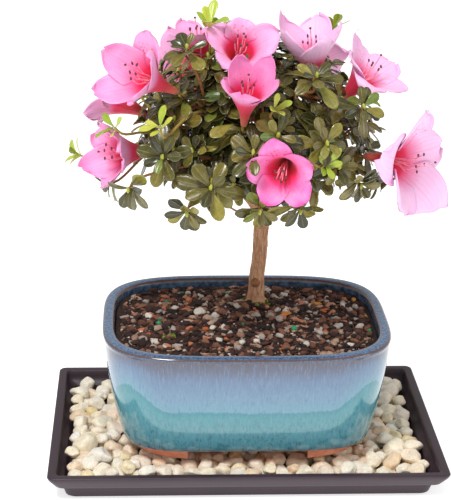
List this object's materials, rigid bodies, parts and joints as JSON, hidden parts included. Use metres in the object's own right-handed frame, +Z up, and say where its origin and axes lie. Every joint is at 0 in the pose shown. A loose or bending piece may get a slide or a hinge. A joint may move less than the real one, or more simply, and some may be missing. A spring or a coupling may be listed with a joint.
{
  "type": "bonsai tree in a pot",
  "caption": "Flowering azalea bonsai: one slim trunk and a round crown of small dark leaves and pink funnel flowers, in a blue glazed pot on a pebble-filled humidity tray",
  "frame": {"origin": "centre of the tray's flat underside, which is what the whole object stands on", "axes": "+Z up along the trunk; +X along the tray's and pot's long side, to the right seen from the front; -Y is the front, the side the trunk leans its flowers towards"},
  "size_m": [0.278, 0.2045, 0.3263],
  "materials": {
    "tray_plastic": "satin dark plum-grey",
    "pebbles": "smooth rounded cream and white pebbles",
    "pot_glaze": "glossy blue to teal flowing glaze over bare terracotta feet",
    "screen_plastic": "plain dark mesh",
    "soil": "damp granular soil with bark and moss",
    "bark": "matt, finely cracked",
    "petals": "soft, thin, veined",
    "stamens": "soft",
    "leaves": "leathery, half glossy"
  },
  "bodies": {
    "root": {"humidity_tray": "tray_plastic", "pebble_bed": "pebbles", "pot": "pot_glaze", "drain_screen_left": "screen_plastic", "drain_screen_right": "screen_plastic", "soil": "soil", "trunk_and_branches": "bark", "corolla_01": "petals", "stamens_01": "stamens", "corolla_02": "petals", "stamens_02": "stamens", "corolla_03": "petals", "stamens_03": "stamens", "corolla_04": "petals", "stamens_04": "stamens", "corolla_05": "petals", "stamens_05": "stamens", "corolla_06": "petals", "stamens_06": "stamens", "corolla_07": "petals", "stamens_07": "stamens", "corolla_08": "petals", "stamens_08": "stamens", "corolla_09": "petals", "stamens_09": "stamens", "corolla_10": "petals", "stamens_10": "stamens", "corolla_11": "petals", "stamens_11": "stamens", "corolla_12": "petals", "stamens_12": "stamens", "corolla_13": "petals", "stamens_13": "stamens", "leaf_spray_01": "leaves", "leaf_spray_02": "leaves", "leaf_spray_03": "leaves", "leaf_spray_04": "leaves", "leaf_spray_05": "leaves", "leaf_spray_06": "leaves", "leaf_spray_07": "leaves", "leaf_spray_08": "leaves", "leaf_spray_09": "leaves", "leaf_spray_10": "leaves", "leaf_spray_11": "leaves", "leaf_spray_12": "leaves", "leaf_spray_13": "leaves", "leaf_spray_14": "leaves", "leaf_spray_15": "leaves", "leaf_spray_16": "leaves"}
  },
  "joints": []
}
